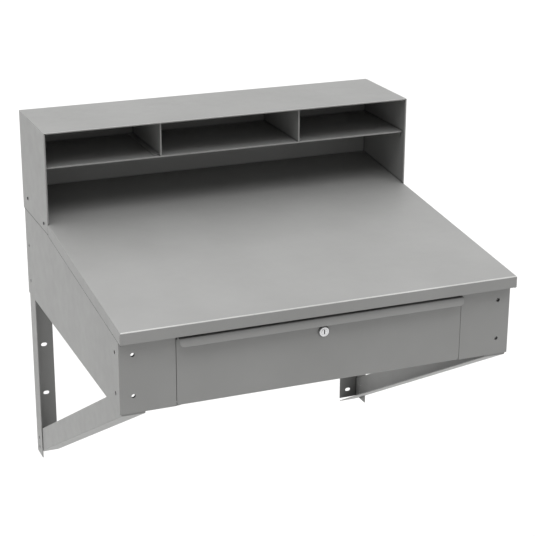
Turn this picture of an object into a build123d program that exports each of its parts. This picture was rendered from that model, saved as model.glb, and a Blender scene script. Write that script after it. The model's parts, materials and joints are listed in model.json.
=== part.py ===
from build123d import *
from math import cos, radians, sin, tan
import os

# A wall-mounted steel shop desk: a sheet steel body with a sloping top and one locking drawer,
# a pigeonhole riser along the back, and two wall posts with diagonal braces below.
#
# X runs along the wall, +Y points to the wall, +Z is up, in millimetres.
# The origin is the centre of the wall slots, on the wall plane.

os.makedirs("parts", exist_ok=True)

# ---------------------------------------------------------------- driving dimensions
SHEET = 1.5                # riser and body sheet
TOP_SHEET = 1.9            # desktop sheet
TRAY_SHEET = 1.2           # drawer sheet
ANGLE_SHEET = 2.0          # wall posts and braces
BEND = 2.5                 # bend radius at mid-sheet
FLANGE = 15.0              # width of a hidden welding flange
GAP = 0.1                  # gap between sheets that lie together

DESK_HALF = 438.15         # half the overall width
DESK_DEPTH = 759.0         # wall to the front of the desktop's lip
SLOPE = radians(5.78)      # slope of the desktop
LIP = 25.4                 # height of the desktop's lip and side flanges
BODY_HALF = 436.1          # half the width of the body
BODY_DEPTH = 738.0         # wall to the body's front face
BODY_BOTTOM = 139.7        # body's bottom edge above the origin
FRONT_TOP = BODY_BOTTOM + 181.9

RISER_DEPTH = 222.8
RISER_BOTTOM = BODY_BOTTOM + 213.4
RISER_TOP = BODY_BOTTOM + 443.8
SHELF_TOP = BODY_BOTTOM + 362.4
SHELF_SETBACK = 13.0       # shelf and dividers behind the riser's front edge
DIVIDER_X = 167.2
HEM_DEPTH = 10.0           # front edges folded back on themselves

CORNER_HOLE_R = 4.3        # 5/16 inch bolt clearance
CORNER_HOLE_HEIGHTS = (BODY_BOTTOM + 36.5, BODY_BOTTOM + 124.5)
SIDE_HOLE_REAR = -25.4
SIDE_HOLE_FRONT = -711.2
STILE_HOLE_X = 407.4

POST_FLANGE = 50.8
POST_BOTTOM = BODY_BOTTOM - 415.3
POST_TOP = BODY_BOTTOM + 203.2
POST_OUTER = BODY_HALF - SHEET - GAP
WALL_SLOT_X = 406.4
WALL_SLOT_PITCH = 127.0
WALL_SLOT_LENGTH = 14.3
WALL_SLOT_HEIGHT = 9.1

BRACE_ANGLE = radians(29.74)
BRACE_FLANGE = 49.5
BRACE_FOOT = BODY_BOTTOM - 425.2   # height where the brace's crease would reach the wall
BRACE_LIP = 3.0            # the flange's front end, turned up behind the body's front
BRACE_REAR = -4.0
BRACE_FRONT = -735.0
BRACE_HOLE_HEIGHTS = (BODY_BOTTOM - 373.4, BODY_BOTTOM - 397.8)
BRACE_TAB_TOP = BODY_BOTTOM + 62.0
BRACE_TAB_REAR = -688.0

OPENING_HALF = 318.0       # half the width of the drawer opening
STILE_RETURN = 16.5        # depth of the flange along each side of the opening
FOOT_TAB = 8.2             # tab behind each lower corner of the drawer front
FOOT_TAB_HEIGHT = 8.0
HEADER_FRONT = -727.5
HEADER_BOTTOM = BODY_BOTTOM + 127.0

HANGER_INNER = 320.6
HANGER_FRONT = -719.0
HANGER_REAR = -60.0
HANGER_BOTTOM = BODY_BOTTOM + 20.0

DRAWER_HALF = 317.4
DRAWER_BOTTOM = BODY_BOTTOM + 0.5
DRAWER_CORNER = 8.0        # rounding of the drawer front's lower corners
TRAY_HALF = 303.0
TRAY_BOTTOM = BODY_BOTTOM + 22.0
TRAY_TOP = BODY_BOTTOM + 118.0
TRAY_REAR = -170.0
RETURN_DEPTH = 9.0         # drawer front's side and bottom returns

PULL_HALF = 315.3
PULL_TOP = BODY_BOTTOM + 149.1
PULL_BOTTOM = BODY_BOTTOM + 132.6
PULL_BEND = -751.0
PULL_EDGE = -756.9
PULL_CORNER = 9.0

ROLLER_R = 12.0
ROLLER_BORE_R = 3.06
ROLLER_PIN_R = 3.0
ROLLER_INNER = 306.0
ROLLER_OUTER = 314.0
PIN_SHOULDER_R = 4.5
PIN_HEAD_R = 4.8
CHANNEL_FRONT = -718.0
CHANNEL_REAR = -160.0
CHANNEL_FLOOR = BODY_BOTTOM + 48.0
CHANNEL_CEILING = BODY_BOTTOM + 75.0
CHANNEL_LIP = 308.0
CHANNEL_OUTER = 320.5
CHANNEL_ROLLER_Y = -700.0
CHANNEL_ROLLER_Z = CHANNEL_FLOOR + 12.5
RUNNER_ROLLER_Y = -190.0
RUNNER_ROLLER_Z = CHANNEL_FLOOR + 12.3
RUNNER_BOTTOM = BODY_BOTTOM + 52.0
RUNNER_TOP = BODY_BOTTOM + 74.0
RUNNER_EDGE = 315.0
RUNNER_FRONT = -727.0
RUNNER_REAR = -176.0

LOCK_Z = BODY_BOTTOM + 114.0
BEZEL_R = 10.8
BEZEL_FRONT = -743.4
BARREL_R = 9.4
BARREL_REAR = -718.0
PLUG_R = 6.5
PLUG_CLEARANCE = 0.05
PLUG_FRONT = -743.8
KEYWAY_WIDTH = 2.2
KEYWAY_HEIGHT = 9.2
KEYWAY_DEPTH = 14.0
CAM_REACH = 30.0
CAM_WIDTH = 14.0
CAM_THICKNESS = 2.5
CAM_STEM = 7.0

SCREW_PLACES = ((-45.7, BODY_BOTTOM + 245.9), (-189.5, BODY_BOTTOM + 229.9))
SCREW_HEAD_R = 3.4
SCREW_R = 2.1

SIDES = (("left", -1), ("right", 1))


def desk_z(y):
    """Height of the desktop's upper surface."""
    return FRONT_TOP + (y + DESK_DEPTH) * tan(SLOPE)


def under_z(y):
    """Height of the desktop's lower surface."""
    return desk_z(y) - TOP_SHEET / cos(SLOPE)


def plate(low, high, mode=Mode.ADD):
    """A flat block between two corners."""
    size = [b - a for a, b in zip(low, high)]
    with Locations(tuple((a + b) / 2 for a, b in zip(low, high))):
        Box(*size, mode=mode)


def side_plate(side, inner, outer, y_low, y_high, z_low, z_high, mode=Mode.ADD):
    """A block between two distances from the middle, on the given side."""
    x_low, x_high = sorted((side * inner, side * outer))
    plate((x_low, y_low, z_low), (x_high, y_high, z_high), mode)


def prism_x(outline, x_a, x_b, mode=Mode.ADD):
    """A prism along X, with its outline given in Y and Z."""
    with BuildSketch(Plane.YZ.offset(min(x_a, x_b))) as section:
        with BuildLine():
            Polyline(*outline, close=True)
        make_face()
    extrude(section.sketch, amount=abs(x_b - x_a), mode=mode)


def bent_sheet(plane, path, thickness, length, radius=BEND):
    """A bent sheet: the path is its mid-line in the plane, extruded along the plane's normal."""
    with BuildSketch(plane) as section:
        with BuildLine():
            FilletPolyline(*path, radius=radius)
        trace(line_width=thickness)
    extrude(section.sketch, amount=length)


def drill_x(places, radius, x_a, x_b):
    """Round holes along X, at places given in Y and Z."""
    with BuildSketch(Plane.YZ.offset(min(x_a, x_b))) as holes:
        with Locations(*places):
            Circle(radius)
    extrude(holes.sketch, amount=abs(x_b - x_a), mode=Mode.SUBTRACT)


def drill_y(places, radius, y_a, y_b):
    """Round holes along Y, at places given in X and Z."""
    with BuildSketch(Plane.XZ.offset(-max(y_a, y_b))) as holes:
        with Locations(*places):
            Circle(radius)
    extrude(holes.sketch, amount=abs(y_b - y_a), mode=Mode.SUBTRACT)


def rod_x(y, z, radius, x_a, x_b, mode=Mode.ADD):
    """A round bar along X."""
    with BuildSketch(Plane.YZ.offset(min(x_a, x_b))) as section:
        with Locations((y, z)):
            Circle(radius)
    extrude(section.sketch, amount=abs(x_b - x_a), mode=mode)


def rod_y(x, z, radius, y_a, y_b, mode=Mode.ADD):
    """A round bar along Y."""
    with BuildSketch(Plane.XZ.offset(-max(y_a, y_b))) as section:
        with Locations((x, z)):
            Circle(radius)
    extrude(section.sketch, amount=abs(y_b - y_a), mode=mode)


def finish(builder, name):
    """Label a finished piece and write its file."""
    builder.part.label = name
    export_step(builder.part, f"parts/{name}.step")


# ---------------------------------------------------------------- desktop
def make_desktop():
    """The sloping top: a pan with a front lip and side flanges, flat under the riser."""
    flange_end = -RISER_DEPTH - 1.0
    front = -DESK_DEPTH
    with BuildPart() as desktop:
        pan = (
            (front, desk_z(front)),
            (flange_end, desk_z(flange_end)),
            (flange_end, desk_z(flange_end) - LIP),
            (front, desk_z(front) - LIP),
        )
        prism_x(pan, -DESK_HALF, DESK_HALF)
        rims = desktop.edges().filter_by(Axis.X).group_by(Axis.Y)[0].group_by(Axis.Z)[-1]
        rims += desktop.edges().filter_by(lambda e: abs(e.tangent_at(0.5).Y) > 0.9).group_by(Axis.Z)[-1]
        fillet(rims, radius=2.8)
        hollow = (
            (front + TOP_SHEET, under_z(front + TOP_SHEET)),
            (flange_end + 1, under_z(flange_end + 1)),
            (flange_end + 1, desk_z(flange_end) - LIP - 1),
            (front + TOP_SHEET, desk_z(front) - LIP - 1),
        )
        prism_x(hollow, TOP_SHEET - DESK_HALF, DESK_HALF - TOP_SHEET, Mode.SUBTRACT)
        rear = (
            (flange_end - FLANGE, desk_z(flange_end - FLANGE)),
            (0, desk_z(0)),
            (0, under_z(0)),
            (flange_end - FLANGE, under_z(flange_end - FLANGE)),
        )
        prism_x(rear, GAP - BODY_HALF, BODY_HALF - GAP)
        # Open corner seams between the lip and the side flanges.
        seam_top = desk_z(front) - 6.0
        for name, side in SIDES:
            seam = (front + TOP_SHEET + 0.1, front + TOP_SHEET + 1.1, seam_top - LIP, seam_top)
            side_plate(side, DESK_HALF - TOP_SHEET - 0.5, DESK_HALF + 1, *seam, Mode.SUBTRACT)
    finish(desktop, "desktop")


def make_desktop_stiffener():
    """A hat section across the underside of the desktop."""
    middle = -400.0
    half_length = 317.0
    depth = 22.0
    seat = under_z(middle) - GAP
    slope_dir = (0, cos(SLOPE), sin(SLOPE))
    section = Plane(origin=(-half_length, middle, seat), x_dir=slope_dir, z_dir=(1, 0, 0))
    mid = -SHEET / 2
    path = ((-45, mid), (-28, mid), (-22, -depth), (22, -depth), (28, mid), (45, mid))
    with BuildPart() as desktop_stiffener:
        bent_sheet(section, path, SHEET, 2 * half_length)
    finish(desktop_stiffener, "desktop_stiffener")


# ---------------------------------------------------------------- body
def make_side_panel(name, side):
    """A body side with its front stile, bent from one sheet."""
    inner = BODY_HALF - SHEET
    front = -BODY_DEPTH
    stile_top = under_z(front) - GAP
    with BuildPart() as side_panel:
        outline = (
            (front, BODY_BOTTOM),
            (0, BODY_BOTTOM),
            (0, under_z(0) - GAP),
            (front, stile_top),
        )
        prism_x(outline, side * inner, side * BODY_HALF)
        side_plate(side, OPENING_HALF, BODY_HALF, front, front + SHEET, BODY_BOTTOM, stile_top)
        flange_top = (
            (front + SHEET, under_z(front + SHEET) - GAP),
            (-2, under_z(-2) - GAP),
            (-2, under_z(-2) - GAP - SHEET),
            (front + SHEET, under_z(front + SHEET) - GAP - SHEET),
        )
        prism_x(flange_top, side * (inner - FLANGE), side * inner)
        side_plate(
            side, OPENING_HALF, OPENING_HALF + SHEET,
            front, front + SHEET + STILE_RETURN, BODY_BOTTOM, BODY_BOTTOM + 178,
        )
        tab = (front + SHEET + GAP, front + 2 * SHEET + GAP, BODY_BOTTOM, BODY_BOTTOM + FOOT_TAB_HEIGHT)
        side_plate(side, OPENING_HALF - FOOT_TAB, OPENING_HALF + SHEET, *tab)
        corners = side_panel.edges().filter_by(Axis.Z).group_by(Axis.Y)[0]
        fillet(corners.filter_by(lambda e: e.length > 100), radius=1.4)
        rows = [(y, z) for y in (SIDE_HOLE_REAR, SIDE_HOLE_FRONT) for z in CORNER_HOLE_HEIGHTS]
        drill_x(rows, CORNER_HOLE_R, side * (inner - 1), side * (BODY_HALF + 1))
        drill_x(SCREW_PLACES, SCREW_R + 0.1, side * (inner - 1), side * (BODY_HALF + 1))
        stile_rows = [(side * STILE_HOLE_X, z) for z in CORNER_HOLE_HEIGHTS]
        drill_y(stile_rows, CORNER_HOLE_R, front - 1, front + SHEET + 1)
    finish(side_panel, f"side_panel_{name}")


def make_front_rail():
    """The rail behind the drawer front's top, which the lock's cam catches."""
    half = OPENING_HALF - 0.2
    web = HEADER_FRONT + SHEET / 2
    foot = HEADER_BOTTOM + SHEET / 2
    rear = web + FLANGE
    path = (
        (web + 7.0, foot),
        (web, foot),
        (web, under_z(web) - GAP - SHEET / 2),
        (rear, under_z(rear) - GAP - SHEET / 2),
    )
    with BuildPart() as front_rail:
        bent_sheet(Plane.YZ.offset(-half), path, SHEET, 2 * half)
    finish(front_rail, "front_rail")


def make_rear_rail():
    """A channel across the back, under the desktop and above the posts."""
    half = BODY_HALF - SHEET - FLANGE - 0.5
    web = -SHEET / 2
    foot = POST_TOP + 3.0
    depth = 20.0
    path = (
        (-depth, foot),
        (web, foot),
        (web, under_z(web) - GAP - SHEET / 2),
        (-depth, under_z(-depth) - GAP - SHEET / 2),
    )
    with BuildPart() as rear_rail:
        bent_sheet(Plane.YZ.offset(-half), path, SHEET, 2 * half)
    finish(rear_rail, "rear_rail")


def make_drawer_hanger(name, side):
    """A plate that hangs from the desktop and carries the drawer's fixed slide."""
    outer = HANGER_INNER + SHEET
    with BuildPart() as drawer_hanger:
        outline = (
            (HANGER_FRONT, HANGER_BOTTOM),
            (HANGER_REAR, HANGER_BOTTOM),
            (HANGER_REAR, under_z(HANGER_REAR) - GAP),
            (HANGER_FRONT, under_z(HANGER_FRONT) - GAP),
        )
        prism_x(outline, side * HANGER_INNER, side * outer)
        flange_top = (
            (HANGER_FRONT, under_z(HANGER_FRONT) - GAP),
            (HANGER_REAR, under_z(HANGER_REAR) - GAP),
            (HANGER_REAR, under_z(HANGER_REAR) - GAP - SHEET),
            (HANGER_FRONT, under_z(HANGER_FRONT) - GAP - SHEET),
        )
        prism_x(flange_top, side * outer, side * (outer + FLANGE))
    finish(drawer_hanger, f"drawer_hanger_{name}")


# ---------------------------------------------------------------- riser
def make_riser_side(name, side):
    """A riser side, which overlaps the outside of the body, with a hemmed front edge."""
    inner = DESK_HALF - SHEET
    with BuildPart() as riser_side:
        side_plate(side, inner, DESK_HALF, -RISER_DEPTH, 0, RISER_BOTTOM, RISER_TOP - SHEET)
        hem_bottom = desk_z(-RISER_DEPTH + HEM_DEPTH) + 1.0
        side_plate(
            side, inner - SHEET, inner,
            -RISER_DEPTH, -RISER_DEPTH + HEM_DEPTH, hem_bottom, RISER_TOP - 2 * SHEET - GAP,
        )
        drill_x(SCREW_PLACES, SCREW_R + 0.2, side * (inner - 1), side * (DESK_HALF + 1))
    finish(riser_side, f"riser_side_{name}")


def make_riser_top():
    """The riser's top, with a hemmed front edge and two side flanges."""
    under = RISER_TOP - SHEET
    inner = DESK_HALF - SHEET - GAP
    with BuildPart() as riser_top:
        plate((-DESK_HALF, -RISER_DEPTH, under), (DESK_HALF, 0, RISER_TOP))
        fillet(riser_top.faces().sort_by(Axis.Z)[-1].edges(), radius=0.7)
        hem_half = inner - 2 * SHEET
        hem_rear = -RISER_DEPTH + HEM_DEPTH
        plate((-hem_half, -RISER_DEPTH, under - SHEET), (hem_half, hem_rear, under))
        for name, side in SIDES:
            side_plate(side, inner - SHEET, inner, hem_rear + 1, -3, under - FLANGE, under)
    finish(riser_top, "riser_top")


def make_riser_back():
    """The riser's back sheet, standing on the desktop's rear edge."""
    half = DESK_HALF - SHEET - GAP
    with BuildPart() as riser_back:
        plate((-half, -SHEET, desk_z(0) + GAP), (half, 0, RISER_TOP - SHEET - GAP))
    finish(riser_back, "riser_back")


def make_riser_shelf():
    """The shelf across the riser, with a hemmed front edge and end flanges turned down."""
    half = DESK_HALF - SHEET - GAP
    front = -RISER_DEPTH + SHELF_SETBACK
    under = SHELF_TOP - SHEET
    with BuildPart() as riser_shelf:
        plate((-half, front, under), (half, -SHEET - GAP, SHELF_TOP))
        plate((-half, front, under - SHEET), (half, front + HEM_DEPTH, under))
        for name, side in SIDES:
            side_plate(side, half - SHEET, half, front + HEM_DEPTH, -3, SHELF_TOP - FLANGE, under)
    finish(riser_shelf, "riser_shelf")


def make_riser_divider(name, side):
    """A pigeonhole divider with welding flanges at its head and foot."""
    front = -RISER_DEPTH + SHELF_SETBACK
    foot = SHELF_TOP + GAP
    head = RISER_TOP - SHEET - GAP
    middle = side * DIVIDER_X
    with BuildPart() as riser_divider:
        plate((middle - SHEET / 2, front, foot), (middle + SHEET / 2, -SHEET - GAP, head))
        hem = (front, front + HEM_DEPTH, foot, head)
        side_plate(side, DIVIDER_X + SHEET / 2, DIVIDER_X + 3 * SHEET / 2, *hem)
        inset = front + HEM_DEPTH + 2
        flange = (side, DIVIDER_X + SHEET / 2, DIVIDER_X + FLANGE, inset, -4)
        side_plate(*flange, foot, foot + SHEET)
        side_plate(*flange, head - SHEET, head)
    finish(riser_divider, f"riser_divider_{name}")


def make_riser_screws():
    """The four screws that hold the riser's sides to the body."""
    shank_end = BODY_HALF - SHEET - 5.0
    with BuildPart() as riser_screws:
        for name, side in SIDES:
            for y, z in SCREW_PLACES:
                rod_x(y, z, SCREW_HEAD_R, side * DESK_HALF, side * (DESK_HALF + 2.0))
                rod_x(y, z, SCREW_R, side * shank_end, side * DESK_HALF)
        rims = riser_screws.edges().filter_by(GeomType.CIRCLE).filter_by(
            lambda e: abs(abs(e.center().X) - DESK_HALF - 2.0) < 0.01
        )
        fillet(rims, radius=1.2)
    finish(riser_screws, "riser_screws")


# ---------------------------------------------------------------- wall brackets
def make_wall_post(name, side):
    """A slotted angle against the wall, inside the body's rear corner."""
    mid = ANGLE_SHEET / 2
    web = side * (POST_OUTER - mid)
    path = (
        (web, -POST_FLANGE),
        (web, -mid),
        (side * (POST_OUTER - POST_FLANGE), -mid),
    )
    side_holes = [(SIDE_HOLE_REAR, z) for z in CORNER_HOLE_HEIGHTS + BRACE_HOLE_HEIGHTS]
    slots = [(side * WALL_SLOT_X, step * WALL_SLOT_PITCH) for step in range(-2, 3)]
    with BuildPart() as wall_post:
        bent_sheet(Plane.XY.offset(POST_BOTTOM), path, ANGLE_SHEET, POST_TOP - POST_BOTTOM)
        drill_x(side_holes, CORNER_HOLE_R, side * (POST_OUTER - 5), side * (POST_OUTER + 1))
        with BuildSketch(Plane.XZ.offset(-1)) as slot_shapes:
            with Locations(*slots):
                SlotOverall(WALL_SLOT_LENGTH, WALL_SLOT_HEIGHT)
        extrude(slot_shapes.sketch, amount=ANGLE_SHEET + 2, mode=Mode.SUBTRACT)
    finish(wall_post, f"wall_post_{name}")


def crease_z(y):
    """Height of the brace's lower crease."""
    return BRACE_FOOT - y * tan(BRACE_ANGLE)


def make_brace(name, side):
    """A diagonal angle from the foot of the post to the front of the body."""
    outer = POST_OUTER - ANGLE_SHEET - GAP
    web_rise = POST_FLANGE / cos(BRACE_ANGLE)
    sheet_rise = ANGLE_SHEET / cos(BRACE_ANGLE)
    tab_foot = BRACE_TAB_REAR + 10.0
    with BuildPart() as brace:
        web = (
            (BRACE_REAR, crease_z(BRACE_REAR)),
            (BRACE_REAR, crease_z(BRACE_REAR) + web_rise),
            (tab_foot, crease_z(tab_foot) + web_rise),
            (BRACE_TAB_REAR, BRACE_TAB_TOP),
            (BRACE_FRONT, BRACE_TAB_TOP),
            (BRACE_FRONT, crease_z(BRACE_FRONT)),
        )
        prism_x(web, side * (outer - ANGLE_SHEET), side * outer)
        flange = (
            (BRACE_REAR, crease_z(BRACE_REAR)),
            (BRACE_REAR, crease_z(BRACE_REAR) + sheet_rise),
            (BRACE_FRONT, crease_z(BRACE_FRONT) + sheet_rise),
            (BRACE_FRONT, crease_z(BRACE_FRONT)),
        )
        prism_x(flange, side * (outer - BRACE_FLANGE), side * (outer - ANGLE_SHEET))
        lip = (BRACE_FRONT, BRACE_FRONT + ANGLE_SHEET, crease_z(BRACE_FRONT), BODY_BOTTOM + BRACE_LIP)
        side_plate(side, outer - BRACE_FLANGE, outer - ANGLE_SHEET, *lip)
        along = brace.edges().filter_by(lambda e: e.length > 800)
        crease = along.group_by(Axis.Z)[0].filter_by(lambda e: abs(abs(e.center().X) - outer) < 0.01)
        fillet(crease, radius=1.9)
        web_holes = [(SIDE_HOLE_REAR, z) for z in BRACE_HOLE_HEIGHTS]
        web_holes.append((SIDE_HOLE_FRONT, CORNER_HOLE_HEIGHTS[0]))
        drill_x(web_holes, CORNER_HOLE_R, side * (outer - 5), side * (outer + 1))
    finish(brace, f"brace_{name}")


# ---------------------------------------------------------------- drawer slides
def make_slide_channel(name, side):
    """The fixed slide: a channel on the hanger, open towards the drawer."""
    low = CHANNEL_FLOOR - SHEET / 2
    high = CHANNEL_CEILING + SHEET / 2
    web = side * (CHANNEL_OUTER - SHEET / 2)
    lip = side * CHANNEL_LIP
    path = ((lip, low), (web, low), (web, high), (lip, high))
    with BuildPart() as slide_channel:
        bent_sheet(Plane.XZ.offset(-CHANNEL_REAR), path, SHEET, CHANNEL_REAR - CHANNEL_FRONT, 1.5)
    finish(slide_channel, f"slide_channel_{name}")


def make_slide_runner(name, side):
    """The moving slide: an angle on the tray's side, whose flange rides on the front roller."""
    web = side * (TRAY_HALF + TRAY_SHEET / 2)
    high = RUNNER_TOP - TRAY_SHEET / 2
    path = ((web, RUNNER_BOTTOM), (web, high), (side * RUNNER_EDGE, high))
    with BuildPart() as slide_runner:
        bent_sheet(Plane.XZ.offset(-RUNNER_REAR), path, TRAY_SHEET, RUNNER_REAR - RUNNER_FRONT, 1.0)
    finish(slide_runner, f"slide_runner_{name}")


def make_roller(node, side, y, z):
    """A nylon roller with rounded shoulders and a plain bore."""
    with BuildPart() as roller:
        rod_x(y, z, ROLLER_R, side * ROLLER_INNER, side * ROLLER_OUTER)
        fillet(roller.edges().filter_by(GeomType.CIRCLE), radius=0.8)
        rod_x(y, z, ROLLER_BORE_R, side * (ROLLER_INNER - 1), side * (ROLLER_OUTER + 1), Mode.SUBTRACT)
    finish(roller, node)


def make_roller_pins(node, y, z, seat, tip):
    """One pin each side: a shoulder at the seat, the journal, and a head at the tip."""
    near, far = (ROLLER_OUTER, ROLLER_INNER) if seat > tip else (ROLLER_INNER, ROLLER_OUTER)
    clear = 0.3 if seat > tip else -0.3
    with BuildPart() as roller_pins:
        for name, side in SIDES:
            rod_x(y, z, PIN_SHOULDER_R, side * seat, side * (near + clear))
            rod_x(y, z, ROLLER_PIN_R, side * seat, side * (far - clear))
            rod_x(y, z, PIN_HEAD_R, side * (far - clear), side * tip)
    finish(roller_pins, node)


def make_drawer_bumpers():
    """Two rubber stops on the front rail."""
    reach = 8.4
    with BuildPart() as drawer_bumpers:
        for name, side in SIDES:
            rod_y(side * 250.0, HEADER_BOTTOM + 9.0, 6.0, HEADER_FRONT - reach, HEADER_FRONT)
        tips = drawer_bumpers.edges().filter_by(GeomType.CIRCLE).group_by(Axis.Y)[0]
        fillet(tips, radius=2.0)
    finish(drawer_bumpers, "drawer_bumpers")


# ---------------------------------------------------------------- drawer
def make_drawer_front():
    """The drawer front, whose top edge turns forward and down into a full-width pull."""
    face = -BODY_DEPTH + SHEET / 2
    back = -BODY_DEPTH + SHEET
    return_edge = back + RETURN_DEPTH - SHEET
    pull_mid = PULL_TOP - SHEET / 2
    with BuildPart() as drawer_front:
        foot = DRAWER_BOTTOM + SHEET / 2
        front_path = ((return_edge, foot), (face, foot), (face, PULL_TOP - 6))
        bent_sheet(Plane.YZ.offset(-DRAWER_HALF), front_path, SHEET, 2 * DRAWER_HALF, 2.0)
        pull_path = (
            (face, PULL_TOP - 12),
            (face, pull_mid),
            (PULL_BEND, pull_mid),
            (PULL_EDGE, PULL_BOTTOM),
        )
        bent_sheet(Plane.YZ.offset(-PULL_HALF), pull_path, SHEET, 2 * PULL_HALF, 2.2)
        corners = drawer_front.edges().filter_by(
            lambda e: abs(e.length - SHEET) < 0.05
            and abs(abs(e.center().X) - PULL_HALF) < 0.01
            and e.center().Z < PULL_BOTTOM + 2
            and e.center().Y < PULL_BEND
        )
        fillet(corners, radius=PULL_CORNER)
        for name, side in SIDES:
            side_plate(
                side, DRAWER_HALF - SHEET, DRAWER_HALF,
                back - 0.2, return_edge, DRAWER_BOTTOM + DRAWER_CORNER + 1, PULL_TOP - 12,
            )
        with BuildSketch(Plane.XZ.offset(-return_edge - 1)) as corner_cuts:
            for name, side in SIDES:
                with Locations((side * DRAWER_HALF, DRAWER_BOTTOM)):
                    Rectangle(2 * DRAWER_CORNER, 2 * DRAWER_CORNER)
                with Locations((side * (DRAWER_HALF - DRAWER_CORNER), DRAWER_BOTTOM + DRAWER_CORNER)):
                    Circle(DRAWER_CORNER, mode=Mode.SUBTRACT)
        extrude(corner_cuts.sketch, amount=RETURN_DEPTH + 4, mode=Mode.SUBTRACT)
        for name, side in SIDES:
            side_plate(
                side, DRAWER_HALF - DRAWER_CORNER, DRAWER_HALF + 1,
                back, return_edge + 1, DRAWER_BOTTOM - 1, DRAWER_BOTTOM + DRAWER_CORNER, Mode.SUBTRACT,
            )
        drill_y([(0, LOCK_Z)], BARREL_R + 0.1, -BODY_DEPTH - 1, back + 1)
    finish(drawer_front, "drawer_front")


def make_drawer_tray():
    """The drawer's floor and sides from one sheet, with hemmed top edges and front tabs."""
    front = -BODY_DEPTH + SHEET + GAP
    inner = TRAY_HALF - TRAY_SHEET
    floor_top = TRAY_BOTTOM + TRAY_SHEET
    with BuildPart() as drawer_tray:
        plate((-TRAY_HALF, front, TRAY_BOTTOM), (TRAY_HALF, TRAY_REAR, floor_top))
        for name, side in SIDES:
            side_plate(side, inner, TRAY_HALF, front, TRAY_REAR, TRAY_BOTTOM, TRAY_TOP)
            hem = (front, TRAY_REAR, TRAY_TOP - HEM_DEPTH, TRAY_TOP)
            side_plate(side, inner - TRAY_SHEET, inner, *hem)
            tab = (front, front + TRAY_SHEET, floor_top, TRAY_TOP)
            side_plate(side, inner - FLANGE, inner, *tab)
    finish(drawer_tray, "drawer_tray")


def make_drawer_back():
    """The drawer's back, with a hemmed top edge and flanges against the sides."""
    half = TRAY_HALF - 2 * TRAY_SHEET - 2 * GAP
    foot = TRAY_BOTTOM + TRAY_SHEET + GAP
    face = TRAY_REAR - 2.0
    with BuildPart() as drawer_back:
        plate((-half, face - TRAY_SHEET, foot), (half, face, TRAY_TOP - 4))
        hem = (face - 2 * TRAY_SHEET, face - TRAY_SHEET)
        plate((-half, hem[0], TRAY_TOP - 4 - HEM_DEPTH), (half, hem[1], TRAY_TOP - 4))
        for name, side in SIDES:
            side_plate(
                side, half - TRAY_SHEET, half,
                face - FLANGE, face, foot, TRAY_TOP - HEM_DEPTH - 8,
            )
    finish(drawer_back, "drawer_back")


# ---------------------------------------------------------------- lock
def make_lock_housing():
    """The lock's barrel, with a rounded bezel on the drawer front."""
    with BuildPart() as lock_housing:
        rod_y(0, LOCK_Z, BEZEL_R, BEZEL_FRONT, -BODY_DEPTH)
        fillet(lock_housing.edges().filter_by(GeomType.CIRCLE).group_by(Axis.Y)[0], radius=1.6)
        rod_y(0, LOCK_Z, BARREL_R, -BODY_DEPTH, BARREL_REAR)
        bore = PLUG_R + PLUG_CLEARANCE
        rod_y(0, LOCK_Z, bore, BEZEL_FRONT - 1, BARREL_REAR + 1, Mode.SUBTRACT)
    finish(lock_housing, "lock_housing")


def make_lock_nut():
    """The hexagon nut that clamps the barrel from behind."""
    seat = -BODY_DEPTH + SHEET
    thickness = 4.0
    with BuildPart() as lock_nut:
        with BuildSketch(Plane.XZ.offset(-seat)) as hexagon:
            with Locations((0, LOCK_Z)):
                RegularPolygon(radius=12.0, side_count=6, major_radius=False)
                Circle(BARREL_R + GAP, mode=Mode.SUBTRACT)
        extrude(hexagon.sketch, amount=-thickness)
    finish(lock_nut, "lock_nut")


def make_lock_plug():
    """The turning plug, with a keyway in front and a square stem behind."""
    stem_end = BARREL_REAR + CAM_THICKNESS
    with BuildPart() as lock_plug:
        rod_y(0, LOCK_Z, PLUG_R, PLUG_FRONT, BARREL_REAR)
        fillet(lock_plug.edges().filter_by(GeomType.CIRCLE).group_by(Axis.Y)[0], radius=0.4)
        half = CAM_STEM / 2
        plate((-half, BARREL_REAR, LOCK_Z - half), (half, stem_end, LOCK_Z + half))
        keyway_low = (-KEYWAY_WIDTH / 2, PLUG_FRONT - 1, LOCK_Z - KEYWAY_HEIGHT / 2)
        keyway_high = (KEYWAY_WIDTH / 2, PLUG_FRONT + KEYWAY_DEPTH, LOCK_Z + KEYWAY_HEIGHT / 2)
        plate(keyway_low, keyway_high, Mode.SUBTRACT)
        rod_y(0, LOCK_Z, 2.0, stem_end - 8, stem_end + 1, Mode.SUBTRACT)
    finish(lock_plug, "lock_plug")


def make_lock_cam():
    """The cam on the plug's stem: across the drawer when unlocked, up behind the rail when locked."""
    centre = CAM_REACH / 2 - CAM_WIDTH / 4
    length = CAM_REACH + CAM_WIDTH / 2
    half = CAM_STEM / 2 + GAP
    with BuildPart() as lock_cam:
        with BuildSketch(Plane.XZ.offset(-BARREL_REAR - 0.2)) as blade:
            with Locations((centre, LOCK_Z)):
                SlotOverall(length, CAM_WIDTH)
            with Locations((0, LOCK_Z)):
                Rectangle(2 * half, 2 * half, mode=Mode.SUBTRACT)
        extrude(blade.sketch, amount=-CAM_THICKNESS)
    finish(lock_cam, "lock_cam")


def make_lock_cam_screw():
    """The screw that holds the cam on the plug."""
    seat = BARREL_REAR + 0.2 + CAM_THICKNESS
    with BuildPart() as lock_cam_screw:
        rod_y(0, LOCK_Z, 5.6, seat, seat + 2.4)
        fillet(lock_cam_screw.edges().filter_by(GeomType.CIRCLE).group_by(Axis.Y)[-1], radius=0.8)
        rod_y(0, LOCK_Z, 1.9, seat - 7, seat)
    finish(lock_cam_screw, "lock_cam_screw")


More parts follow.
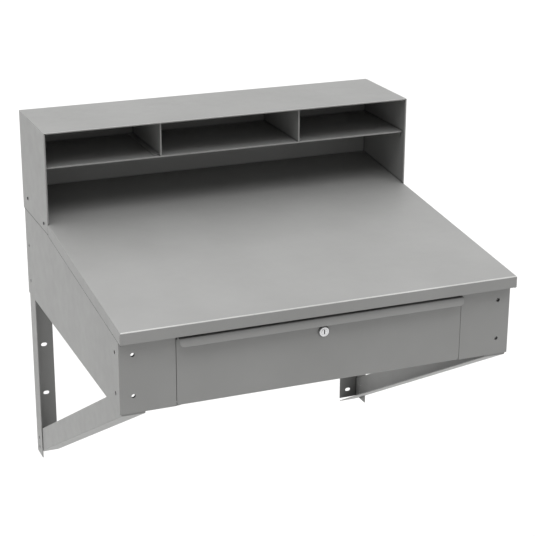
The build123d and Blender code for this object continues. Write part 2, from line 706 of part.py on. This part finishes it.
# ---------------------------------------------------------------- assembly
make_desktop()
make_desktop_stiffener()
make_front_rail()
make_rear_rail()
make_riser_top()
make_riser_back()
make_riser_shelf()
make_riser_screws()
make_drawer_bumpers()
make_drawer_front()
make_drawer_tray()
make_drawer_back()
make_lock_housing()
make_lock_nut()
make_lock_plug()
make_lock_cam()
make_lock_cam_screw()
for side_name, side_sign in SIDES:
    make_side_panel(side_name, side_sign)
    make_drawer_hanger(side_name, side_sign)
    make_riser_side(side_name, side_sign)
    make_riser_divider(side_name, side_sign)
    make_wall_post(side_name, side_sign)
    make_brace(side_name, side_sign)
    make_slide_channel(side_name, side_sign)
    make_slide_runner(side_name, side_sign)
    make_roller(f"channel_roller_{side_name}", side_sign, CHANNEL_ROLLER_Y, CHANNEL_ROLLER_Z)
    make_roller(f"runner_roller_{side_name}", side_sign, RUNNER_ROLLER_Y, RUNNER_ROLLER_Z)
make_roller_pins("channel_roller_pins", CHANNEL_ROLLER_Y, CHANNEL_ROLLER_Z, 319.0, 304.7)
make_roller_pins("runner_roller_pins", RUNNER_ROLLER_Y, RUNNER_ROLLER_Z, 304.2, 315.4)
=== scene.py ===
import json
import math

import bmesh
import bpy
from mathutils import Matrix, Vector


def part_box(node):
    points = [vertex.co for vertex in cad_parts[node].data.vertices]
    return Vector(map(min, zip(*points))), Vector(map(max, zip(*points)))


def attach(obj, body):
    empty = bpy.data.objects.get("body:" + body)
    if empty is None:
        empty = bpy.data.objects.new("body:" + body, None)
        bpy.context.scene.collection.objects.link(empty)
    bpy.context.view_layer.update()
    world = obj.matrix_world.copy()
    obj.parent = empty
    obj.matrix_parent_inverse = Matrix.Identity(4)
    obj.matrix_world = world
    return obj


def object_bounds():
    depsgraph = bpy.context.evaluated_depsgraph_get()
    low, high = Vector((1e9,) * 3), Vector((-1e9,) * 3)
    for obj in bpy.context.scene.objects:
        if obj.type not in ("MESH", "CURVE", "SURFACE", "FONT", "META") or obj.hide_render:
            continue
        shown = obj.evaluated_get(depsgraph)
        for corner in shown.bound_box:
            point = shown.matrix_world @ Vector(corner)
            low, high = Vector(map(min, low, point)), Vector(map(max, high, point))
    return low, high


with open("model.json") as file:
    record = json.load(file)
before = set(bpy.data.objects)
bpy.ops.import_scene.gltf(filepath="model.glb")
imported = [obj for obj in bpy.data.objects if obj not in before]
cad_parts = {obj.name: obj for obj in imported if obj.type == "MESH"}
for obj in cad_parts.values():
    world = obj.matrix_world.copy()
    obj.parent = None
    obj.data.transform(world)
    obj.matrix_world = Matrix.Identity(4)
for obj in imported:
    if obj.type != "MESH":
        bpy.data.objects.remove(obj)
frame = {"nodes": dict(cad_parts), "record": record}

# A wall-mounted steel shop desk: its CAD nodes get their finishes and rounded sheet edges here,
# and small parts that need more shape are built around them. Sizes are in metres, and the angles
# at the top are in degrees.

CAD_LOW, CAD_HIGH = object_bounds()
CENTRE = (CAD_LOW + CAD_HIGH) / 2
NODES = frame["nodes"]
SLOT_OF = {part["node"]: part["material_slot"] for part in frame["record"]["subparts"]}
MOUNTS = {mount["name"]: mount for mount in frame["record"]["mounts"]}

# Camera: its place from the desk's middle, and the way it looks.
CAMERA_OFFSET = Vector((-1.2253, -3.0661, 1.3158))
CAMERA_YAW = 22.152
CAMERA_PITCH = 19.913
CAMERA_ROLL = 0.240
CAMERA_LENS = 105.34       # millimetres, as the sensor
CAMERA_SENSOR = 36.0

# Floor and surround.
FLOOR_DROP = 0.75          # floor below the desk's lowest edge
FLOOR_HALF = 60.0
SURROUND_LIGHT = 0.44      # how strongly the surround lights the desk; it shows at 1

# Sheet metal.
EDGE_ROUND = 0.00035       # rounding of a sheet's cut edges
EDGE_ANGLE = 38            # least angle of an edge that is rounded
FLAT_ANGLE = 0.3           # faces flatter than this are joined
BODY_SHEET = 0.0015        # body sides and front
DESK_LIP = 0.0254          # height of the desktop's front lip
# Sheets whose long bends facing up and forward get a painted highlight.
BENT_SHEETS = ("desktop", "riser_top")
BEND_FACING = 0.25         # how far a marked bend faces up, and forward
BEND_LENGTH = 0.15         # least length of a marked bend

# The lock's keyway, whose walls and floor get painted shade: half its size, and where it starts
# and ends behind the plug's front.
KEYWAY_HALF_X = 0.00115
KEYWAY_HALF_Z = 0.0047
KEYWAY_START = 0.0002
KEYWAY_END = 0.0142

# Painted shadow, a thin dark strip under the overhangs: its outline as (out from the wall, up),
# and its swelling along the seam.
STRIP_OUTLINE = ((0.0, 0.0), (0.0019, 0.0), (0.0019, -0.0014), (0.0013, -0.0024), (0.0, -0.0028))
STRIP_STEPS = 24
STRIP_SWELL = 0.05

# Weld nut.
NUT_ACROSS = 0.0155        # across flats
NUT_THICKNESS = 0.0052
NUT_POINTS = 48            # points round it, a multiple of six
NUT_CHAMFER = 0.0004       # at both ends of its bore
NUT_BEVEL = 0.0006         # depth of the bevel at its back corners
NUT_NARROW = 0.93          # scale of the hexagon at its back
NUT_STEP = 0.0002          # gap to the sheet, and how much its bore is tighter than the hole


# ---------------------------------------------------------------- materials
def new_material(name):
    """A node material with only its shader and output; returns it, its tree and the shader."""
    material = bpy.data.materials.new(name)
    material.use_nodes = True
    tree = material.node_tree
    shader = next(n for n in tree.nodes if n.type == "BSDF_PRINCIPLED")
    return material, tree, shader


def object_coordinates(tree):
    return tree.nodes.new("ShaderNodeTexCoord").outputs["Object"]


def noise(tree, coordinates, scale, detail=2.0, roughness=0.5):
    """A noise texture on the coordinates."""
    node = tree.nodes.new("ShaderNodeTexNoise")
    node.inputs["Scale"].default_value = scale
    node.inputs["Detail"].default_value = detail
    node.inputs["Roughness"].default_value = roughness
    tree.links.new(coordinates, node.inputs["Vector"])
    return node.outputs["Fac"]


def ramp(tree, value, dark, light):
    """The value as a colour, from dark at 0.3 to light at 0.7."""
    node = tree.nodes.new("ShaderNodeValToRGB")
    for element, place, colour in zip(node.color_ramp.elements, (0.3, 0.7), (dark, light)):
        element.position = place
        element.color = (*colour, 1.0)
    tree.links.new(value, node.inputs["Fac"])
    return node.outputs["Color"]


def map_range(tree, value, start, end):
    """The value, stretched from one range of (low, high) to another."""
    node = tree.nodes.new("ShaderNodeMapRange")
    node.inputs["From Min"].default_value, node.inputs["From Max"].default_value = start
    node.inputs["To Min"].default_value, node.inputs["To Max"].default_value = end
    tree.links.new(value, node.inputs["Value"])
    return node.outputs["Result"]


def set_gloss(tree, shader, value, roughness, drift):
    """Let the roughness drift either way with a noise value."""
    gloss = map_range(tree, value, (0.3, 0.7), (roughness - drift, roughness + drift))
    tree.links.new(gloss, shader.inputs["Roughness"])


def bump(tree, height, distance, strength, under=None):
    """A bump of the given height in metres, on top of another one."""
    node = tree.nodes.new("ShaderNodeBump")
    node.inputs["Distance"].default_value = distance
    node.inputs["Strength"].default_value = strength
    tree.links.new(height, node.inputs["Height"])
    if under is not None:
        tree.links.new(under, node.inputs["Normal"])
    return node.outputs["Normal"]


def with_painted_crevice_shade(tree, colour, reach, dark):
    """The colour with painted shade: darkened where other surfaces stand within reach of it."""
    nearby = tree.nodes.new("ShaderNodeAmbientOcclusion")
    nearby.samples = 16
    nearby.inputs["Distance"].default_value = reach
    mix = tree.nodes.new("ShaderNodeVectorMath")
    mix.operation = "SCALE"
    tree.links.new(colour, mix.inputs[0])
    shade = map_range(tree, nearby.outputs["AO"], (0.55, 0.92), (dark, 1.0))
    tree.links.new(shade, mix.inputs["Scale"])
    return mix.outputs["Vector"]


def powder_coat(name, dark, light, roughness):
    """Satin powder coat: a fine orange peel, faint cloudiness, a slight drift in gloss, and
    painted shade in crevices.
    """
    material, tree, shader = new_material(name)
    place = object_coordinates(tree)
    paint = ramp(tree, noise(tree, place, scale=7.0, detail=3.0), dark, light)
    # Painted shade: the paint colour is darkened in crevices and seams.
    shaded = with_painted_crevice_shade(tree, paint, reach=0.005, dark=0.45)
    tree.links.new(shaded, shader.inputs["Base Color"])
    set_gloss(tree, shader, noise(tree, place, scale=35.0, detail=3.0), roughness, drift=0.035)
    wave = bump(tree, noise(tree, place, scale=9.0, detail=1.0), 0.0004, 0.5)
    grain = noise(tree, place, scale=420.0, detail=1.5, roughness=0.4)
    tree.links.new(bump(tree, grain, 0.00005, 0.6, under=wave), shader.inputs["Normal"])
    shader.inputs["Specular IOR Level"].default_value = 0.34
    return material


def plated_metal(name, dark, light, roughness, grain):
    """Bright plated metal, with fine drawing lines and cloudy brightness."""
    material, tree, shader = new_material(name)
    place = object_coordinates(tree)
    cloud = noise(tree, place, scale=60.0, detail=4.0)
    tree.links.new(ramp(tree, cloud, dark, light), shader.inputs["Base Color"])
    set_gloss(tree, shader, noise(tree, place, scale=140.0, detail=3.0), roughness, drift=0.06)
    stretch = tree.nodes.new("ShaderNodeMapping")
    stretch.inputs["Scale"].default_value = grain
    tree.links.new(place, stretch.inputs["Vector"])
    lines = bump(tree, noise(tree, stretch.outputs["Vector"], scale=1.0), 0.00002, 0.5)
    tree.links.new(lines, shader.inputs["Normal"])
    shader.inputs["Metallic"].default_value = 1.0
    return material


def moulded(name, dark, light, roughness, grain, depth):
    """A dull skin, such as plastic, rubber or black oxide, with a fine grain."""
    material, tree, shader = new_material(name)
    place = object_coordinates(tree)
    cloud = noise(tree, place, scale=90.0, detail=3.0)
    tree.links.new(ramp(tree, cloud, dark, light), shader.inputs["Base Color"])
    set_gloss(tree, shader, cloud, roughness, drift=0.05)
    skin = bump(tree, noise(tree, place, scale=grain), depth, 0.6)
    tree.links.new(skin, shader.inputs["Normal"])
    return material


PAINT = powder_coat("grey_powder_coat", (0.228, 0.228, 0.224), (0.246, 0.246, 0.242), 0.44)
# A lighter copy of the paint: a painted highlight on rounded edges.
PAINT_EDGE_HIGHLIGHT = powder_coat("grey_powder_coat_edge_highlight", (0.37, 0.37, 0.36), (0.41, 0.41, 0.40), 0.36)
# A still lighter copy of the paint: a painted highlight on bends.
PAINT_BEND_HIGHLIGHT = powder_coat("grey_powder_coat_bend_highlight", (0.42, 0.42, 0.41), (0.50, 0.50, 0.49), 0.34)
CHROME = plated_metal(
    "satin_chrome", (0.60, 0.60, 0.61), (0.70, 0.70, 0.71), 0.27, grain=(400, 400, 400)
)
ZINC = plated_metal(
    "zinc_plate", (0.52, 0.53, 0.55), (0.68, 0.69, 0.72), 0.34, grain=(1500, 20, 1500)
)
BLACK = moulded(
    "black_oxide", (0.018, 0.018, 0.019), (0.035, 0.035, 0.037), 0.42, grain=2500.0, depth=0.00002
)
NYLON = moulded(
    "natural_nylon", (0.74, 0.72, 0.66), (0.82, 0.80, 0.74), 0.42, grain=3000.0, depth=0.00002
)
RUBBER = moulded(
    "matt_rubber", (0.018, 0.018, 0.018), (0.032, 0.032, 0.032), 0.75, grain=2200.0, depth=0.00005
)
# Near-black for the painted shadow under the overhanging flanges.
PAINTED_SHADOW = moulded(
    "painted_shadow_black", (0.03, 0.03, 0.03), (0.05, 0.05, 0.05), 0.7, grain=1500.0, depth=0.00005
)

# The finish of each slot's faces, and of its rounded edges; on painted parts the edges are
# lighter, a painted highlight.
FINISHES_AND_EDGE_HIGHLIGHTS = {
    "body_paint": (PAINT, PAINT_EDGE_HIGHLIGHT),
    "lock_chrome": (CHROME, CHROME),
    "zinc_steel": (ZINC, ZINC),
    "black_screw": (BLACK, BLACK),
    "roller_nylon": (NYLON, NYLON),
    "bumper_rubber": (RUBBER, RUBBER),
}
PAINTED_LIGHT_INDEX = 2           # material index of a node's painted bend highlight or painted keyway shade


# ---------------------------------------------------------------- CAD nodes
def paint_bend_highlights(node):
    """Give a sheet's long bends that face up and forward a painted highlight: a lighter, glossier
    paint.
    """
    node.data.materials.append(PAINT_BEND_HIGHLIGHT)
    points = node.data.vertices
    for face in node.data.polygons:
        reach = max((points[a].co - points[b].co).length for a, b in face.edge_keys)
        faces_out = face.normal.z > BEND_FACING and face.normal.y < -BEND_FACING
        if faces_out and reach > BEND_LENGTH:
            face.material_index = PAINTED_LIGHT_INDEX


def paint_keyway_shade(node):
    """Give the walls and floor of the plug's keyway painted shade: a black finish where the
    recess lies in shade.
    """
    node.data.materials.append(BLACK)
    low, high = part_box(node.name)
    middle = (low + high) / 2
    for face in node.data.polygons:
        off = face.center - middle
        in_slot = abs(off.x) < KEYWAY_HALF_X and abs(off.z) < KEYWAY_HALF_Z
        if in_slot and low.y + KEYWAY_START < face.center.y < low.y + KEYWAY_END:
            face.material_index = PAINTED_LIGHT_INDEX


def dress(name):
    """Give a CAD node its finish, and round its cut edges, which on painted parts get a painted
    highlight.
    """
    node = NODES[name]
    node.data.materials.clear()
    for finish_or_edge_highlight in FINISHES_AND_EDGE_HIGHLIGHTS[SLOT_OF[name]]:
        node.data.materials.append(finish_or_edge_highlight)
    # Bent sheets get a painted highlight on their bends.
    if name in BENT_SHEETS:
        paint_bend_highlights(node)
    # The lock plug gets painted shade in its keyway.
    if name == "lock_plug":
        paint_keyway_shade(node)
    weld = node.modifiers.new("weld", "WELD")
    weld.merge_threshold = 0.00001
    flat = node.modifiers.new("flat", "DECIMATE")
    flat.decimate_type = "DISSOLVE"
    flat.angle_limit = math.radians(FLAT_ANGLE)
    rounding = node.modifiers.new("rounding", "BEVEL")
    rounding.width = EDGE_ROUND
    rounding.segments = 2
    rounding.limit_method = "ANGLE"
    rounding.angle_limit = math.radians(EDGE_ANGLE)
    # The rounded edges take the second material: on painted parts a painted highlight.
    rounding.material = 1
    node.modifiers.new("shading", "WEIGHTED_NORMAL")


# ---------------------------------------------------------------- small parts
def add_piece(name, form, material, smooth=True):
    """Turn a bmesh form into a piece that rides on the desk."""
    mesh = bpy.data.meshes.new(name)
    bmesh.ops.recalc_face_normals(form, faces=form.faces)
    form.to_mesh(mesh)
    form.free()
    for face in mesh.polygons:
        face.use_smooth = smooth
    piece = bpy.data.objects.new(name, mesh)
    bpy.context.scene.collection.objects.link(piece)
    mesh.materials.append(material)
    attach(piece, "desk")


def join_rings(form, near, far):
    """A band of faces between two rings of vertices."""
    count = len(near)
    for i in range(count):
        j = (i + 1) % count
        form.faces.new((near[i], near[j], far[j], far[i]))


def add_shadow_strip(form, wall, side, start, end):
    """A thin dark strip of painted shadow on a side wall, between two places (y, z), closed at
    both ends.
    """
    rings = []
    for step in range(STRIP_STEPS + 1):
        share = step / STRIP_STEPS
        y = start[0] + (end[0] - start[0]) * share
        z = start[1] + (end[1] - start[1]) * share
        ripple = math.sin(31.0 * share + 2.0 * side) * math.sin(7.0 * share)
        swell = 1.0 + STRIP_SWELL * ripple
        outline = [(wall + side * out * swell, y, z + up * swell) for out, up in STRIP_OUTLINE]
        rings.append([form.verts.new(point) for point in outline])
    for near, far in zip(rings, rings[1:]):
        join_rings(form, near, far)
    form.faces.new(list(reversed(rings[0])))
    form.faces.new(rings[-1])


def painted_shadow_strips():
    """A thin dark strip of painted shadow under the desktop's side flanges and the riser's sides,
    where their overhang casts shade.
    """
    top_low, top_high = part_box("desktop")
    rise = (top_high.z - top_low.z - DESK_LIP) / (top_high.y - top_low.y)
    for name, side in (("left", -1), ("right", 1)):
        riser_low, riser_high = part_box(f"riser_side_{name}")
        body_low, body_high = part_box(f"side_panel_{name}")
        wall = body_low.x if side < 0 else body_high.x
        front = top_low.y + 0.003
        turn = riser_low.y - 0.0012
        form = bmesh.new()
        sloping = [(y, top_low.z + rise * (y - top_low.y)) for y in (front, turn)]
        level = [(y, riser_low.z) for y in (riser_low.y + 0.001, riser_high.y - 0.002)]
        add_shadow_strip(form, wall, side, *sloping)
        add_shadow_strip(form, wall, side, *level)
        add_piece(f"painted_shadow_strip_{name}", form, PAINTED_SHADOW)


def weld_nut(form, centre, away, bore):
    """A hexagon nut with a chamfered round bore; away is the direction that its front faces."""
    away = Vector(away)
    up = Vector((0.0, 0.0, 1.0))
    side = up.cross(away)

    def hexagon(scale):
        return lambda a: scale * NUT_ACROSS / 2 / math.cos((a % (math.pi / 3)) - math.pi / 6)

    def circle(radius):
        return lambda a: radius

    def ring(radius_at, depth):
        points = []
        for i in range(NUT_POINTS):
            angle = 2 * math.pi * i / NUT_POINTS
            radius = radius_at(angle)
            out = side * (math.cos(angle) * radius) + up * (math.sin(angle) * radius)
            points.append(form.verts.new(centre + out - away * depth))
        return points

    rings = [
        ring(circle(bore), NUT_CHAMFER),
        ring(circle(bore + NUT_CHAMFER), 0.0),
        ring(hexagon(1.0), 0.0),
        ring(hexagon(1.0), NUT_THICKNESS - NUT_BEVEL),
        ring(hexagon(NUT_NARROW), NUT_THICKNESS),
        ring(circle(bore + NUT_CHAMFER), NUT_THICKNESS),
        ring(circle(bore), NUT_THICKNESS - NUT_CHAMFER),
    ]
    for near, far in zip(rings, rings[1:] + rings[:1]):
        join_rings(form, near, far)


def hole_pattern(name):
    """A mount's middle, half its hole spacing each way, and its holes' radius."""
    dims = MOUNTS[name]["dims"]
    half = (dims["spacing_x_mm"] / 2000, dims["spacing_y_mm"] / 2000)
    return Vector(MOUNTS[name]["pos_m"]), half, dims["hole_r_mm"] / 1000


def weld_nuts():
    """Dark weld nuts behind the empty holes of the body's front and of its sides' upper front."""
    inside = BODY_SHEET + NUT_STEP
    centre, (half_x, half_z), hole_radius = hole_pattern("front_holes")
    bore = hole_radius - NUT_STEP
    form = bmesh.new()
    for x in (-half_x, half_x):
        for z in (-half_z, half_z):
            place = Vector((x, centre.y + inside, centre.z + z))
            weld_nut(form, place, (0, -1, 0), bore)
    for name, side in (("left", -1), ("right", 1)):
        centre, (half_y, half_z), _ = hole_pattern(f"side_holes_{name}")
        place = Vector((centre.x - side * inside, centre.y - half_y, centre.z + half_z))
        weld_nut(form, place, (side, 0, 0), bore)
    add_piece("weld_nuts", form, BLACK, smooth=False)


# ---------------------------------------------------------------- floor, lights and camera
def make_floor():
    """A plain pale floor, well below the desk."""
    mesh = bpy.data.meshes.new("floor")
    form = bmesh.new()
    bmesh.ops.create_grid(form, x_segments=2, y_segments=2, size=FLOOR_HALF)
    form.to_mesh(mesh)
    form.free()
    floor = bpy.data.objects.new("floor", mesh)
    floor.location = (CENTRE.x, CENTRE.y, CAD_LOW.z - FLOOR_DROP)
    bpy.context.scene.collection.objects.link(floor)
    material, tree, shader = new_material("pale_floor")
    shader.inputs["Roughness"].default_value = 0.9
    shade = noise(tree, object_coordinates(tree), scale=1.2)
    pale = ramp(tree, shade, (0.63, 0.63, 0.625), (0.65, 0.65, 0.645))
    tree.links.new(pale, shader.inputs["Base Color"])
    mesh.materials.append(material)


def soft_sun(name, azimuth, elevation, spread, strength):
    """Soft light that fills an angle round a direction; azimuth 0 is in front of the desk."""
    a, e = math.radians(azimuth), math.radians(elevation)
    away = Vector((math.sin(a) * math.cos(e), -math.cos(a) * math.cos(e), math.sin(e)))
    lamp = bpy.data.lights.new(name, "SUN")
    lamp.energy = strength
    lamp.angle = math.radians(spread)
    light = bpy.data.objects.new(name, lamp)
    light.location = CENTRE + away * 5.0
    light.rotation_mode = "QUATERNION"
    light.rotation_quaternion = away.to_track_quat("Z", "Y")
    bpy.context.scene.collection.objects.link(light)


def make_world():
    """A plain white surround, which lights the desk less than it shows."""
    world = bpy.data.worlds.new("surround")
    world.use_nodes = True
    tree = world.node_tree
    background = next(n for n in tree.nodes if n.type == "BACKGROUND")
    background.inputs["Color"].default_value = (1.0, 1.0, 1.0, 1.0)
    seen = tree.nodes.new("ShaderNodeLightPath").outputs["Is Camera Ray"]
    level = map_range(tree, seen, (0.0, 1.0), (SURROUND_LIGHT, 1.0))
    tree.links.new(level, background.inputs["Strength"])
    bpy.context.scene.world = world


def make_camera():
    """The camera, placed and turned by the values at the top."""
    yaw, pitch, roll = (math.radians(a) for a in (CAMERA_YAW, CAMERA_PITCH, CAMERA_ROLL))
    forward = Vector((
        math.sin(yaw) * math.cos(pitch),
        math.cos(yaw) * math.cos(pitch),
        -math.sin(pitch),
    ))
    level = Vector((math.cos(yaw), -math.sin(yaw), 0.0))
    upright = level.cross(forward)
    right = level * math.cos(roll) + upright * math.sin(roll)
    up = upright * math.cos(roll) - level * math.sin(roll)
    data = bpy.data.cameras.new("camera")
    data.sensor_width = CAMERA_SENSOR
    data.lens = CAMERA_LENS
    data.clip_end = 100.0
    camera = bpy.data.objects.new("camera", data)
    turn = Matrix((right, up, -forward)).transposed().to_4x4()
    camera.matrix_world = Matrix.Translation(CENTRE + CAMERA_OFFSET) @ turn
    bpy.context.scene.collection.objects.link(camera)
    bpy.context.scene.camera = camera


# ---------------------------------------------------------------- the scene
for node_name in sorted(NODES):
    dress(node_name)
# Thin dark strips of painted shadow under the overhanging flanges.
painted_shadow_strips()
weld_nuts()

make_floor()
soft_sun("top_light", azimuth=-130, elevation=81, spread=100, strength=3.95)
soft_sun("front_light", azimuth=46, elevation=60, spread=16, strength=0.22)
make_world()
make_camera()
bpy.context.scene.view_settings.view_transform = "Standard"
